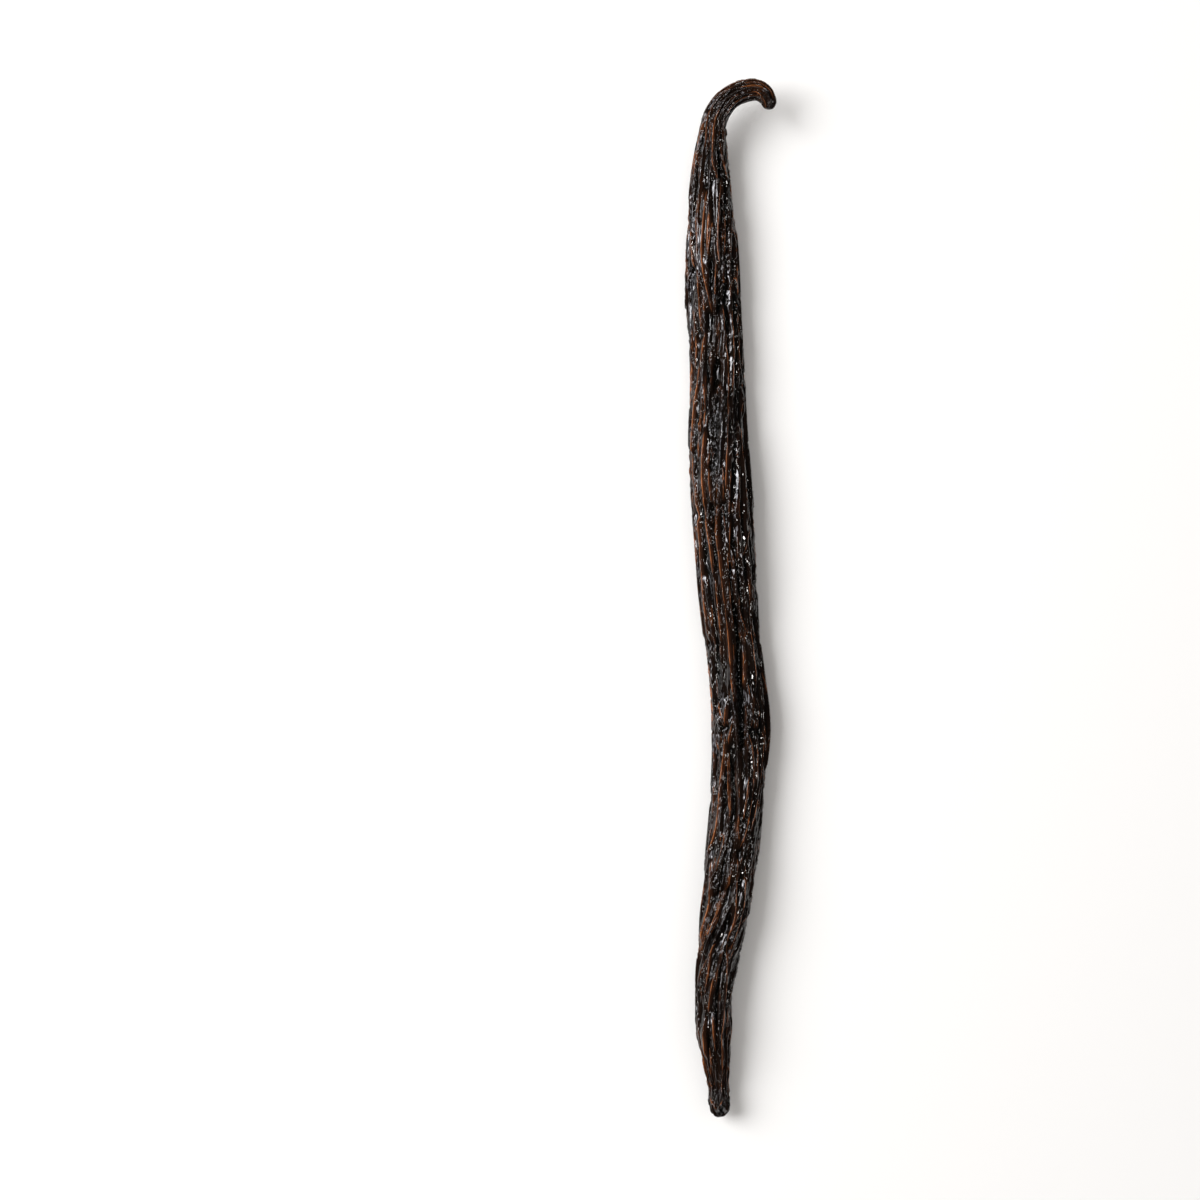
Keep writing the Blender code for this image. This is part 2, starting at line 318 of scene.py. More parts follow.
patches = skin_noise(2.4, 9.0, 131.2)
crimped = np.clip(0.22 + 2.2 * patches + 1.6 * skin_noise(0.9, 4.0, 141.2), 0, 1)
crimped = np.clip(crimped + 0.7 * ramp(along, 152, 158) - 0.25 * ramp(along, 20, 12), 0, 1)
bead_row = np.exp(-((aside(BEAD_ROW_ANGLE) / BEAD_ROW_REACH) ** 2)) * ramp(along, 26, 20)
crimped = np.clip(crimped + 0.8 * bead_row, 0, 1)
grainy = np.clip(0.35 - 1.8 * patches, 0, 1)
wrinkles = np.abs(skin_noise(0.62, 4.2, 57.3, 1.4 * meander)) * 2
grains = skin_noise(0.55, 0.6, 67.5)
undulation = skin_noise(4.5, 9.0, 151.6)
for kind, share in (("crimped", crimped), ("grainy", grainy)):
    print(kind, "share of the skin:", round(float(share.mean()), 2))

# %% [markdown]
# ## What is particular to this pod
# Noise gives a pod of the right kind. Some crests and dents are this pod's own, and they are what the eye
# knows it by: long worn crests that cross the pattern, a deep furrow down the middle, places where it was
# pinched as it dried, a lens-shaped hollow in the neck. These are written down one by one. Near a crest of
# its own the noise gives way, so that the crest stands alone.

# %% The crests that stand out
# Each crest is a row of (along, angle) points, from the blossom end towards the hook, on whole and half
# millimetres and steps of 5 degrees: one point at each end, and one where the crest bends.
OWN_CRESTS = (
    ((1.5, 110), (3.5, 165)),
    ((1.5, 105), (3, 70)),
    ((4, 80), (8, 70), (14, 65)),
    ((10, 135), (16, 120)),
    ((11, 90), (16, 95)),
    ((17, 110), (22, 100)),
    ((13, 65), (20, 55), (28, 75), (31, 70), (41, 80)),
    ((27, 60), (33, 50), (40, 60)),
    ((21, 155), (25, 120)),
    ((27, 165), (33, 140), (40, 145)),
    ((41, 160), (45, 140), (52, 135), (60, 125)),
    ((42, 75), (48, 60), (54, 60), (60, 75)),
    ((44, 55), (52, 40), (60, 40)),
    ((46, 75), (54, 70)),
    ((58, 120), (62, 110)),
    ((61, 130), (65, 120)),
    ((61, 70), (65, 65)),
    ((61, 55), (65, 50)),
    ((66, 105), (78, 100), (92, 110)),
    ((67, 80), (73, 70)),
    ((68, 50), (84, 45)),
    ((75, 60), (79, 70), (82, 70)),
    ((74, 115), (84, 115)),
    ((75, 150), (99, 150)),
    ((85, 120), (98, 130), (107, 120)),
    ((87, 60), (92, 35)),
    ((88, 85), (93, 80)),
    ((92, 40), (108, 40)),
    ((96, 90), (102, 85)),
    ((96, 115), (101, 115)),
    ((97, 85), (110, 70), (120, 70)),
    ((103, 160), (113, 145), (122, 115)),
    ((113, 60), (123, 50)),
    ((122, 70), (126, 70)),
    ((122, 120), (132, 125)),
    ((125, 95), (134, 115), (144, 105)),
    ((132, 75), (136, 80), (146, 65)),
    ((132, 135), (139, 150)),
    ((136, 45), (142, 25)),
    ((146, 75), (149, 90), (156, 90)),
    ((146, 35), (152, 60)),
    ((148, 140), (152, 160), (155, 140)),
)
OWN_CREST_REACH = 0.32
OWN_CREST_RISE = 2.0  # the length over which a crest rises at each end
CLEAR_REACH = 1.3  # how far from such a crest the noise gives way

own_crest = np.zeros_like(along)
own_offset = np.full_like(along, 2.0)
for points in OWN_CRESTS:
    start, end = points[0][0], points[-1][0]
    offset = aside(smooth(points, along)) + 0.10 * unevenness
    strength = np.clip(np.minimum(along - start, end - along) / OWN_CREST_RISE + 0.3, 0, 1)
    stronger = strength * ridge(offset, OWN_CREST_REACH) > own_crest * ridge(own_offset, OWN_CREST_REACH)
    own_offset = np.where(stronger, offset, own_offset)
    own_crest = np.where(stronger, strength, own_crest)
near_own = own_crest * fade(own_offset, CLEAR_REACH)
print(len(OWN_CRESTS), "crests of its own")

# %% Furrows, pinches and hollows
# Lines along the pod: ((along, angle), (along, angle), half-width, depth).
FURROWS = (
    ((57.0, 88.0), (84.0, 76.0), 0.75, 1.15),
    ((84.0, 76.0), (96.0, 80.0), 0.50, 0.50),
    ((145.0, 48.0), (152.5, 68.0), 0.75, 0.80),
    ((138.0, 88.0), (152.0, 108.0), 0.40, 0.45),
    ((20.0, 68.0), (37.0, 88.0), 0.60, 0.50),
    ((121.5, 62.0), (126.5, 56.0), 0.70, 0.50),
    ((112.5, 98.0), (119.0, 92.0), 0.55, 0.50),
    ((40.0, 262.0), (80.0, 250.0), 0.80, 0.70),
)
# Creases across it: (along, lean, angle, reach in degrees, half-length, depth).
PINCHES = (
    (36.0, -9.0, 90.0, 120.0, 1.1, 0.40),
    (60.4, 4.0, 140.0, 55.0, 0.6, 0.40),
    (59.6, -2.0, 52.0, 45.0, 0.6, 0.35),
    (74.0, 1.0, 150.0, 60.0, 0.8, 0.30),
    (94.5, -0.5, 160.0, 80.0, 0.8, 0.40),
    (112.0, -4.0, 60.0, 80.0, 0.9, 0.25),
    (126.8, -14.5, 68.0, 50.0, 0.7, 0.45),
    (12.0, 1.0, 90.0, 200.0, 1.0, 0.20),
)

own_marks = np.zeros_like(along)
for (start, start_angle), (end, end_angle), reach, deepest in FURROWS:
    share = np.clip((along - start) / (end - start), 0, 1)
    from_line = aside(start_angle + (end_angle - start_angle) * share) + 0.35 * meander
    lengthwise_fade = fade(along - (start + end) / 2, (end - start) / 2) ** 0.6
    own_marks += deepest * lengthwise_fade * np.exp(-((from_line / reach) ** 2))
for place, lean, centre, reach, half_length, deepest in PINCHES:
    from_centre = aside(centre) / half_width
    from_line = along - place - lean * from_centre / math.pi + 0.8 * meander + 0.9 * unevenness
    sideways_fade = fade(from_centre, math.radians(reach))
    own_marks += deepest * size * sideways_fade * np.exp(-((from_line / half_length) ** 2))
print("deepest mark", round(float(own_marks.max()), 2), "mm")

# %% [markdown]
# ## The two ends
# The blossom end finishes in a small knob with a three-lobed scar, hollow in the middle, where the flower
# dropped off. The hook ends in a blunt knob, where the pod was cut from its stem. Towards both, all the
# folds gather close together, so a second set of narrower folds fades in there.

# %% Scar, knobs and end folds
END_FOLDS = 19
END_FOLD_REACH = 0.20  # in shares of a fold
SCAR_ANGLE = 84.0
SCAR_PLACE = 1.0
SCAR_REACH = 0.9

scar_lobes = 0.25 * fade(along, 3.6) * (0.5 - 0.5 * np.cos(3 * angle + 0.6))
from_scar = ((along - SCAR_PLACE) / SCAR_REACH) ** 2 + (aside(SCAR_ANGLE) / SCAR_REACH) ** 2
scar = scar_lobes + 0.85 * np.exp(-(from_scar**2))
knobs = fade(along, 6.0) + fade(LENGTH - along, 5.0)
lumps = knobs * (0.30 * skin_noise(1.5, 1.0, 241.9) + 0.16 * np.abs(skin_noise(1.0, 2.4, 251.9)))
at_ends = ramp(along, 15, 7) + ramp(along, 146, 154)
end_phase = fold_phase(END_FOLDS, 0.4 * meander, 1.2 * skin_noise(2.0, 6.0, 261.9))
end_crests = 0.5 - ridge(end_phase, END_FOLD_REACH)
end_folds = at_ends * (0.5 + 1.2 * skin_noise(1.6, 4.0, 271.9)) * end_crests
print("the scar is", round(float(scar.max()), 2), "mm deep")

# %% [markdown]
# ## The depth of the skin below its crests
# All of it is added up in millimetres, with one height for each kind of mark. A thin neck can't carry folds
# as deep as the body's, so the shared pattern shrinks with the pod's width, and the pod's own marks don't.

# %% Add up the relief
FOLD_HEIGHT = 0.85
FURROW_DEPTH = 0.45
FIN_HEIGHT = 0.46
SMALL_FIN_HEIGHT = 0.24
OWN_CREST_HEIGHT = 0.5
CREASE_DEPTH = 0.08
PLATE_RIM_DEPTH = 0.08
PLATE_TILT = 0.10
FACET_RIM_DEPTH = 0.05
FACET_TILT = 0.07
WRINKLE_DEPTH = 0.04
GRAIN_HEIGHT = 0.05
UNDULATION = 0.20
END_FOLD_HEIGHT = 0.24
PROUDEST = 0.06  # nothing stands further than this outside the section

keep_clear = 1 - 0.75 * near_own
depth = FOLD_HEIGHT * (0.55 - folds) * keep_clear
depth += FURROW_DEPTH * furrows * keep_clear
depth += FIN_HEIGHT * (0.25 - fin_strength * ridge(fin_offset, FIN_REACH)) * keep_clear
depth -= SMALL_FIN_HEIGHT * small_fin_strength * ridge(small_fin_offset, SMALL_FIN_REACH) * keep_clear
depth += OWN_CREST_HEIGHT * (0.35 * near_own - own_crest * ridge(own_offset, OWN_CREST_REACH))
depth += CREASE_DEPTH * cross_creases
depth += PLATE_RIM_DEPTH * plate_rims - PLATE_TILT * plate_tilt
depth += FACET_RIM_DEPTH * facet_rims - FACET_TILT * facet_tilt * (0.4 + 0.6 * crimped)
depth += WRINKLE_DEPTH * crimped * (0.5 - wrinkles)
depth += GRAIN_HEIGHT * grainy * grains
depth += UNDULATION * undulation
depth *= size**0.6
depth += own_marks + scar + lumps + END_FOLD_HEIGHT * end_folds
depth = np.minimum(np.maximum(depth, -PROUDEST), 0.6 * half_height)
print("relief from", round(float(depth.min()), 2), "to", round(float(depth.max()), 2), "mm")

# %% [markdown]
# ## The mesh
# The piece starts as a straight capped tube with the right number of rings, which a cone with two equal ends
# and one subdivision give. Then each of its points moves to its own place on the skin. Moving the points of
# a plain tube keeps the mesh closed and even, where building faces one by one would be slow to read.

# %% Where each skin point goes
route_at = np.stack([np.interp(fine_along, route_along, route[:, k]) for k in (0, 1)], axis=1)
spine_height = smooth(LIFT, fine_along) + smooth(WIDTHS, fine_along) / 2 * smooth(ROUNDNESS, fine_along)
spine = np.column_stack((route_at, spine_height))
ahead = np.gradient(spine, fine_along, axis=0)
ahead /= np.linalg.norm(ahead, axis=1, keepdims=True)
sideways = np.cross(ahead, (0, 0, 1))
sideways /= np.linalg.norm(sideways, axis=1, keepdims=True)
upward = np.cross(sideways, ahead)


def on_rings(values):
    """Values along the fine spine, read at each ring and made to fit the grid."""
    return np.stack([np.interp(ring_along, fine_along, column) for column in values.T], axis=1)[:, None, :]


from_tip = np.clip(np.minimum(along, LENGTH - along) / TIP_ROUNDING, 0, 1)
rounding = TIP_SHARE + (1 - TIP_SHARE) * np.sqrt(1 - (1 - from_tip) ** 2)
across = (rounding * (half_width - depth) * np.cos(angle))[:, :, None]
above = (rounding * (half_height - depth) * np.sin(angle))[:, :, None]
skin = on_rings(spine) + across * on_rings(sideways) + above * on_rings(upward)
skin[:, :, 2] = np.maximum(skin[:, :, 2], 0)
print("the hook reaches", round(float(skin[:, :, 2].max()), 1), "mm above the surface")

# %% A straight tube, bent on to the skin
mesh = bmesh.new()
bmesh.ops.create_cone(mesh, cap_ends=True, cap_tris=True, segments=SEGMENTS, radius1=1, radius2=1, depth=1)
bmesh.ops.translate(mesh, verts=mesh.verts, vec=(0, 0, 0.5))
lengthwise = [edge for edge in mesh.edges if abs(edge.verts[0].co.z - edge.verts[1].co.z) > 0.5]
bmesh.ops.subdivide_edges(mesh, edges=lengthwise, cuts=RINGS - 2)

straight = np.array([vertex.co for vertex in mesh.verts])
ring = np.rint(straight[:, 2] * (RINGS - 1)).astype(int)
segment = np.rint(np.arctan2(straight[:, 1], straight[:, 0]) * SEGMENTS / math.tau).astype(int) % SEGMENTS
is_skin = np.hypot(straight[:, 0], straight[:, 1]) > 0.5
places = np.where(is_skin[:, None], skin[ring, segment], skin.mean(axis=1)[ring])
middle = (places.min(axis=0) + places.max(axis=0)) / 2
wanted = (low + high) / 2
places += np.array((wanted[0] - middle[0], wanted[1] - middle[1], low[2] - places[:, 2].min()))
for vertex, place in zip(mesh.verts, places):
    vertex.co = place * MM
bmesh.ops.recalc_face_normals(mesh, faces=mesh.faces)
print("skin mesh:", len(mesh.verts), "points,", sum(len(face.verts) - 2 for face in mesh.faces), "triangles")

# %% The piece
pod_mesh = bpy.data.meshes.new("pod_skin")
mesh.to_mesh(pod_mesh)
mesh.free()
pod_mesh.shade_smooth()
pod = bpy.data.objects.new("pod_skin", pod_mesh)
bpy.context.scene.collection.objects.link(pod)
print("the piece is", np.round(places.max(axis=0) - places.min(axis=0), 1), "mm")

# %% [markdown]
# ## What the material needs to know
# The skin's colour and gloss follow its shape: crests carry warm brown lines, partly worn skin and partly
# painted glow of lamp light shining through the thin crests, hollows get painted black shade, and crimped
# skin sparkles. A material can't see the folds, so what it needs is kept on the mesh's points while it is
# known here: how far each point is from the nearest crest of each kind and how strong that crest is, how
# deep the point lies in a hollow, which sets the painted shade, how crimped it is, and its place on the
# untwisted pod. The material then draws each line from its distance, so the line stays as sharp as the render
# and not only as the mesh.
#
# Painting the colours on the points would be simpler, but a line a quarter of a millimetre wide would smear
# between points that are nearly as far apart.

# %% Painted shade in the hollows, and tone
HOLLOW_SHADE_DEPTH = 0.45  # below the skin around it: as dark as a hollow gets


def averaged(field, rings, segments):
    """The field averaged over this many neighbours each way, three times over."""
    for _ in range(3):
        field = np.mean([np.roll(field, k, axis=1) for k in range(-segments, segments + 1)], axis=0)
        padded = np.pad(field, ((rings, rings), (0, 0)), mode="edge")
        field = np.mean([padded[k : k + len(field)] for k in range(2 * rings + 1)], axis=0)
    return field


# The hollows are painted darker the deeper a point lies below the skin around it: painted shade. The tone is
# the skin's own colour, varying at random.
height = -depth
hollow_shade_share = np.clip((averaged(height, 6, 7) - height) / HOLLOW_SHADE_DEPTH, -1, 1)
tone = np.clip(0.5 + 0.5 * skin_noise(3.0, 14.0, 201.7) + 0.6 * skin_noise(1.2, 5.0, 211.9), 0, 1)
print("hollow mean", round(float(hollow_shade_share.mean()), 2))

# %% How strong each crest's warm line is: partly wear, partly painted glow
LINE_REACH = 0.4  # a crest's strength is kept at full this far from it, and is gone at twice as far


def near(offset, strength):
    """The strength of a line, kept only where the line is close."""
    return strength * ramp(np.abs(offset), 2 * LINE_REACH, LINE_REACH)


# Which crests carry a warm line, and how strong: partly wear, partly painted glow of light through the crest.
wear_and_glow = np.clip(0.42 + 1.5 * skin_noise(0.9, 3.0, 221.3) + 0.8 * skin_noise(3.5, 9.0, 231.3), 0, 1)
elsewhere = wear_and_glow * np.clip(1 - 1.2 * near_own, 0, 1) * ramp(along, 2.5, 5.5)
elsewhere *= 1 - 0.6 * ramp(along, 152, 156)
own_strength = near(own_offset, own_crest) * np.clip(wear_and_glow + 0.4, 0, 1)
end_offset = end_phase * math.tau * half_width / END_FOLDS
end_line_share = np.where(along < LENGTH / 2, 0.3, 0.8)  # the hook's crests get stronger warm lines than the blossom end's: more wear and more painted glow
end_strength = end_line_share * at_ends * np.clip(0.1 + 1.8 * skin_noise(1.1, 3.0, 281.9), 0, 1)
print("worn crests:", round(100 * float((wear_and_glow > 0.5).mean())), "% of their length")


# %% Keep it on the points
def keep_on_points(name, *fields):
    """Keeps three fields on the mesh's points as one vector."""
    attribute = pod_mesh.attributes.new(name, "FLOAT_VECTOR", "POINT")
    attribute.data.foreach_set("vector", np.stack(fields, axis=2)[ring, segment].ravel())


nothing = np.zeros_like(along)
keep_on_points("crest_offsets", fold_offset, fin_offset, small_fin_offset)
keep_on_points(
    "crest_strengths",
    elsewhere * near(fold_offset, fold_strength),
    elsewhere * near(fin_offset, fin_strength),
    0.7 * elsewhere * near(small_fin_offset, small_fin_strength),
)
keep_on_points("own_crest", own_offset, own_strength, nothing)
keep_on_points("end_crest", end_offset, near(end_offset, end_strength), nothing)
keep_on_points("hollow_shade_tone_crimp", hollow_shade_share, tone, crimped)
keep_on_points("skin_place", half_width * np.cos(turned), half_width * np.sin(turned), along)
print("kept on the points:", ", ".join(name for name in pod_mesh.attributes.keys() if name[0] != "."))

# %% [markdown]
# ## The finish
# The skin is a dried plant cuticle, soaked with the pod's own oil. That gives the eye a nearly black brown
# with a clear gloss on it. Where a crest is thin and rubbed it is warmer and lighter, and the lamp light
# that shines through it is painted on as a warm glow on its side away from the lamp; the hollows, where
# shade gathers, are painted black as painted shade. The oil is a thin coat over a skin that is itself oily
# and smooth.


# %% Helpers for materials
def linear(colour):
    """An sRGB hex colour as linear red, green, blue and alpha."""
    parts = [int(colour[k : k + 2], 16) / 255 for k in (1, 3, 5)]
    return [c / 12.92 if c <= 0.04045 else ((c + 0.055) / 1.055) ** 2.4 for c in parts] + [1.0]


def add_node(tree, kind, settings=None, links=None):
    """Adds a node, sets its properties and inputs, and links its inputs from other nodes' outputs. An input
    goes by its name, or by its number where several share one name."""
    node = tree.nodes.new(kind)
    for name, value in (settings or {}).items():
        if isinstance(name, str) and hasattr(node, name):
            setattr(node, name, value)
        else:
            node.inputs[name].default_value = value
    for name, source in (links or {}).items():
        tree.links.new(source, node.inputs[name])
    return node


# %% The oiled skin
# hollow is painted shade for the hollows; crest and flank are partly worn skin and partly painted glow of
# lamp light through the thin crests; plate and brown are the skin's own colour.
SKIN = {
    "hollow": linear("#040302"),
    "plate": linear("#090605"),
    "brown": linear("#1c100a"),
    "flank": linear("#3a2013"),
    "crest": linear("#9a5c34"),
}
OIL_IOR = 1.47  # a plant oil's

skin_material = bpy.data.materials.new("oiled_vanilla_skin")
skin_material.use_nodes = True
tree = skin_material.node_tree
shader = tree.nodes["Principled BSDF"]
shader.inputs["IOR"].default_value = OIL_IOR
shader.inputs["Coat Weight"].default_value = 0.25
shader.inputs["Coat Roughness"].default_value = 0.05
shader.inputs["Coat IOR"].default_value = OIL_IOR
print("the skin starts from", len(SKIN), "browns")


# %% Read what was kept
def kept(name):
    """The three fields kept on the points under this name, as the outputs X, Y and Z."""
    attribute = add_node(tree, "ShaderNodeAttribute", {"attribute_name": name})
    return add_node(tree, "ShaderNodeSeparateXYZ", None, {"Vector": attribute.outputs["Vector"]}).outputs


offsets, strengths = kept("crest_offsets"), kept("crest_strengths")
own, ends = kept("own_crest"), kept("end_crest")
# The first field read here is the painted shade of the hollows.
hollow, skin_tone, crimped_share = kept("hollow_shade_tone_crimp")
place = add_node(tree, "ShaderNodeAttribute", {"attribute_name": "skin_place"}).outputs["Vector"]
crest_lines = [(offsets[k], strengths[k]) for k in range(3)] + [(own[0], own[1]), (ends[0], ends[1])]
print(len(crest_lines), "kinds of crest to draw")

# %% [markdown]
# ## The warm lines along the crests
# A crest is the thinnest skin, rubbed by its neighbours in the bundle, so its edge shows the brown that the
# oil hides elsewhere. The warm line is also painted light: lamp light shines through the thin crest and it
# glows on its side away from the lamp, and the brown flank beside it on that side is the same painted glow,
# spread wider. Each line is a band beside the crest, drawn from the distance that was kept. A ramp on the
# height alone would tint broad plates too.

# %% Bands beside every crest
# The hook's side of a crest is the side away from the lamp: the warm line and the brown flank lie there as
# painted glow of light coming through the crest.
LINE_SHIFT = 0.04  # mm: the warm line lies a little to the hook's side of the crest
LINE_EDGE = 0.13  # mm to each side of its middle, where it ends
FLANK_SHIFT = 0.22  # mm: the same for the brown flank beside it
FLANK_EDGE = 0.40


def along_crests(shift, edge):
    """1 in the middle of a band beside every crest, this far to its side, falling to 0 at the band's edge."""
    strongest = None
    for offset, strength in crest_lines:
        shifted = add_node(tree, "ShaderNodeMath", {"operation": "ADD", 1: shift}, {0: offset})
        distance = add_node(tree, "ShaderNodeMath", {"operation": "ABSOLUTE"}, {0: shifted.outputs[0]})
        band = add_node(
            tree,
            "ShaderNodeMapRange",
            {"interpolation_type": "SMOOTHSTEP", "From Min": edge, "From Max": 0.0},
            {"Value": distance.outputs[0]},
        )
        both = {0: band.outputs["Result"], 1: strength}
        strong_band = add_node(tree, "ShaderNodeMath", {"operation": "MULTIPLY"}, both).outputs[0]
        if strongest is None:
            strongest = strong_band
        else:
            both = {0: strongest, 1: strong_band}
            strongest = add_node(tree, "ShaderNodeMath", {"operation": "MAXIMUM"}, both).outputs[0]
    return strongest


crest_line = along_crests(LINE_SHIFT, LINE_EDGE)
flank_band = along_crests(FLANK_SHIFT, FLANK_EDGE)
print("warm lines", 2 * LINE_EDGE, "mm wide, brown flanks", 2 * FLANK_EDGE, "mm")

# %% The grain breaks the warm lines up
# The skin's grain is long spots, about 0.36 mm wide and 1.7 mm long.
GRAINS_PER_MM = (2.8, 2.8, 0.6)

grain_place = add_node(
    tree, "ShaderNodeVectorMath", {"operation": "MULTIPLY", 1: GRAINS_PER_MM}, {0: place}
)
grain = add_node(
    tree,
    "ShaderNodeTexNoise",
    {"Scale": 1.0, "Detail": 3.0, "Roughness": 0.6},
    {"Vector": grain_place.outputs["Vector"]},
).outputs["Fac"]
line_breakup = add_node(
    tree,
    "ShaderNodeMapRange",
    {"From Min": 0.38, "From Max": 0.56, "To Min": 0.35, "To Max": 1.0},
    {"Value": grain},
)
broken_warm_line = add_node(
    tree, "ShaderNodeMath", {"operation": "MULTIPLY"}, {0: crest_line, 1: line_breakup.outputs["Result"]}
)
on_crest = add_node(
    tree, "ShaderNodeMapRange", {"From Min": 0.1, "From Max": 0.8}, {"Value": broken_warm_line.outputs[0]}
).outputs["Result"]
print("grain", round(1 / GRAINS_PER_MM[0], 2), "mm wide and", round(1 / GRAINS_PER_MM[2], 1), "mm long")

# %% Colour, from the plates up to the crests
MIX_A, MIX_B, MIX_RESULT = 6, 7, 2  # where a Mix node keeps its colours

ground = add_node(
    tree,
    "ShaderNodeMix",
    {"data_type": "RGBA", MIX_A: SKIN["plate"], MIX_B: SKIN["brown"]},
    {"Factor": skin_tone},
)
flanked = add_node(
    tree,
    "ShaderNodeMix",
    {"data_type": "RGBA", MIX_B: SKIN["flank"]},
    {"Factor": flank_band, MIX_A: ground.outputs[MIX_RESULT]},
)
crested = add_node(
    tree,
    "ShaderNodeMix",
    {"data_type": "RGBA", MIX_B: SKIN["crest"]},
    {"Factor": on_crest, MIX_A: flanked.outputs[MIX_RESULT]},
)
# Painted shade: the deeper a point lies below the skin around it, the nearer black it is painted.
hollow_shade_factor = add_node(tree, "ShaderNodeMapRange", {"From Min": -0.1, "From Max": 0.7}, {"Value": hollow})
coloured = add_node(
    tree,
    "ShaderNodeMix",
    {"data_type": "RGBA", MIX_B: SKIN["hollow"]},
    {"Factor": hollow_shade_factor.outputs["Result"], MIX_A: crested.outputs[MIX_RESULT]},
)
tree.links.new(coloured.outputs[MIX_RESULT], shader.inputs["Base Color"])
print("the colour is ground, flank, crest and hollow, one over the other")

# %% [markdown]
# ## The sparkle of the crimped skin
# Where the skin is crimped like crepe paper, each tiny facet catches a lamp by itself, and that is what
# makes a good pod glitter. The real facets are about a tenth of a millimetre across, too small for the mesh
# and for the render, so they are drawn as coarse as they need to show: 0.3 mm wide and 0.9 mm long.
#
# Each cell of a Voronoi pattern bulges a little, has beads on it, and is tilted by its own random amount, so
# that only some of them face a lamp. Only the crimped skin has much of this, and the plates between stay
# smooth.

# %% Facets, beads and domes
FACETS_PER_MM = (3.2, 3.2, 1.15)
CRIMP_HEIGHT = 0.12 * MM
LINE_HEIGHT = 0.06 * MM
FACET_LEAN = 0.65

facet_place = add_node(
    tree, "ShaderNodeVectorMath", {"operation": "MULTIPLY", 1: FACETS_PER_MM}, {0: place}
).outputs["Vector"]
facet = add_node(
    tree, "ShaderNodeTexVoronoi", {"feature": "F1", "Scale": 1.0, "Randomness": 1.0}, {"Vector": facet_place}
)
beads = add_node(
    tree, "ShaderNodeTexNoise", {"Scale": 1.6, "Detail": 2.0, "Roughness": 0.55}, {"Vector": facet_place}
)
from_middle = {0: facet.outputs["Distance"], 1: facet.outputs["Distance"]}
squared = add_node(tree, "ShaderNodeMath", {"operation": "MULTIPLY"}, from_middle)
domes = add_node(tree, "ShaderNodeMath", {"operation": "MULTIPLY", 1: -1.2}, {0: squared.outputs[0]})
low_grain = add_node(tree, "ShaderNodeMath", {"operation": "MULTIPLY", 1: 0.7}, {0: grain})
low_beads = add_node(tree, "ShaderNodeMath", {"operation": "MULTIPLY", 1: 0.5}, {0: beads.outputs["Fac"]})
domed = add_node(
    tree, "ShaderNodeMath", {"operation": "ADD"}, {0: low_grain.outputs[0], 1: domes.outputs[0]}
)
beaded = add_node(
    tree, "ShaderNodeMath", {"operation": "ADD"}, {0: domed.outputs[0], 1: low_beads.outputs[0]}
)
print("facets", round(1 / FACETS_PER_MM[0], 2), "mm wide and", round(1 / FACETS_PER_MM[2], 2), "mm long")

# %% Bump, and the tilt of each facet
crimping = add_node(
    tree,
    "ShaderNodeMapRange",
    {"From Min": 0.0, "From Max": 0.9, "To Min": 0.06, "To Max": 1.0},
    {"Value": crimped_share},
).outputs["Result"]
crimped_bump = add_node(
    tree, "ShaderNodeBump", {"Distance": CRIMP_HEIGHT}, {"Height": beaded.outputs[0], "Strength": crimping}
)
raised_line = add_node(
    tree,
    "ShaderNodeBump",
    {"Distance": LINE_HEIGHT, "Strength": 1.0},
    {"Height": on_crest, "Normal": crimped_bump.outputs["Normal"]},
)
tilt = add_node(
    tree,
    "ShaderNodeVectorMath",
    {"operation": "SUBTRACT", 1: (0.5, 0.5, 0.5)},
    {0: facet.outputs["Color"]},
)
lean = add_node(tree, "ShaderNodeMath", {"operation": "MULTIPLY", 1: FACET_LEAN}, {0: crimping})
leaning = add_node(
    tree,
    "ShaderNodeVectorMath",
    {"operation": "SCALE"},
    {0: tilt.outputs["Vector"], "Scale": lean.outputs[0]},
)
tilted = add_node(
    tree,
    "ShaderNodeVectorMath",
    {"operation": "ADD"},
    {0: raised_line.outputs["Normal"], 1: leaning.outputs["Vector"]},
)
facets = add_node(tree, "ShaderNodeVectorMath", {"operation": "NORMALIZE"}, {0: tilted.outputs["Vector"]})
tree.links.new(facets.outputs["Vector"], shader.inputs["Normal"])
tree.links.new(facets.outputs["Vector"], shader.inputs["Coat Normal"])
print("a facet leans by up to", round(FACET_LEAN / 2, 2), "to each side")

# %% Gloss, and the skin put on the piece
# Where the grain stands up the oil lies a little thinner, and is a little duller.
roughness = add_node(
    tree,
    "ShaderNodeMapRange",
    {"From Min": 0.35, "From Max": 0.7, "To Min": 0.06, "To Max": 0.12},
    {"Value": grain},
)
tree.links.new(roughness.outputs["Result"], shader.inputs["Roughness"])

pod_mesh.materials.append(skin_material)
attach(pod, "root")
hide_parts("vanilla_pod")
print("the skin's material has", len(tree.nodes), "nodes")

# %% [markdown]
# ## The studio
# A sheet of matt white card lies under the pod. One big soft lamp behind a cloth, high on the left, lights it
# and throws the soft shadow to the right, and pale warm light comes from all round.
#
# A pod this dark shows its lamps as reflections, and what they light hardly counts. So the lamp that lights
# is left out of the reflections, and a few others are there only to be mirrored: a tall window with a bare
# pane in it makes the long cool gleams, and three small lamps make the sparkles. The room is dimmed in the
# reflections too, or every plate would turn grey.

# %% Floor
BOARD_REACH = 2.0  # metres from its middle to each side

